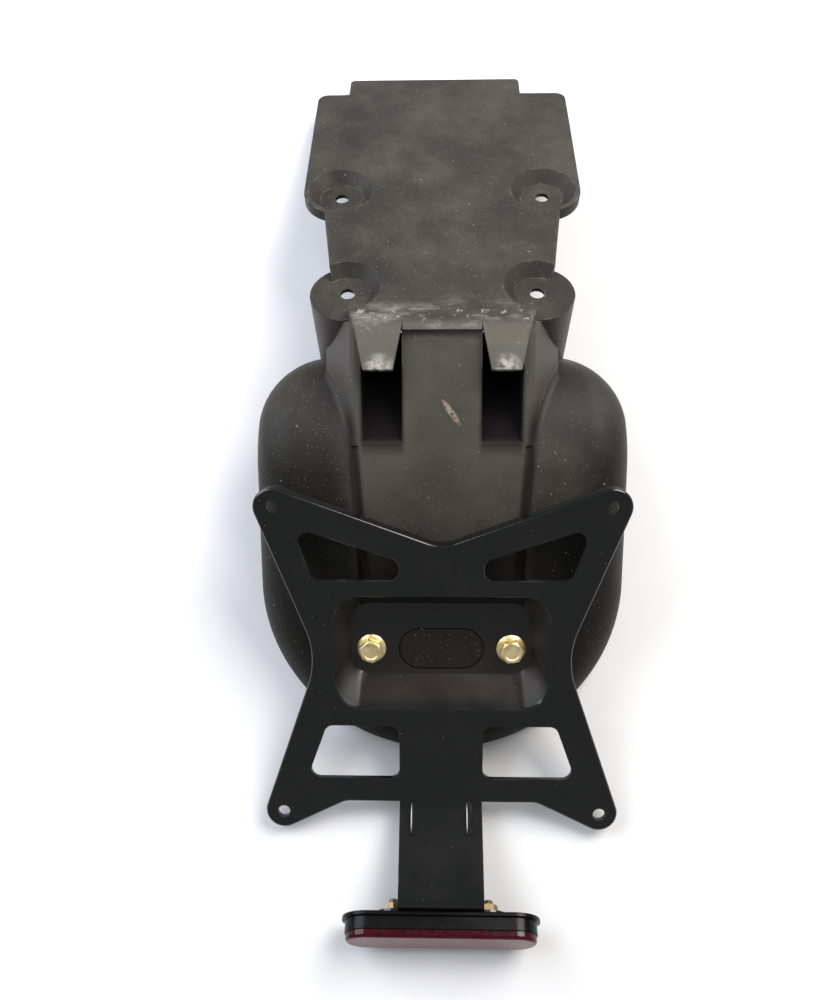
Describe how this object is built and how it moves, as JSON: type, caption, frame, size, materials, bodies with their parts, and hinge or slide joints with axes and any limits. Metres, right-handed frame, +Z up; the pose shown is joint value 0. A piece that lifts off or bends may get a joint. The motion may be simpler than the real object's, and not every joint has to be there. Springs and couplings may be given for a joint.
{
  "type": "tail tidy",
  "caption": "Moulded motorcycle tail tidy: sloped tail deck, domed mudguard shell, butterfly plate bracket bolted to its face, and an oval red reflector on a bent steel arm.",
  "frame": {"origin": "centre of the part's outline on the table it lies on, resting on its tail tab and on the lower edge of its reflector", "axes": "+Y from the reflector towards the tail tab, +Z up from the table, X across the part"},
  "size_m": [0.183, 0.4745, 0.0822],
  "materials": {
    "shell": "textured black moulding, dusty and scuffed",
    "bracket": "satin black coating",
    "fasteners": "pale yellow zinc plating",
    "reflector_housing": "satin black",
    "lens": "polished deep red"
  },
  "bodies": {
    "root": {"mudguard": "shell", "plate_bracket": "bracket", "bracket_bolts": "fasteners", "bracket_nuts": "fasteners", "reflector_base": "reflector_housing", "reflector_lens": "lens", "reflector_studs": "fasteners", "reflector_nuts": "fasteners"}
  },
  "joints": []
}
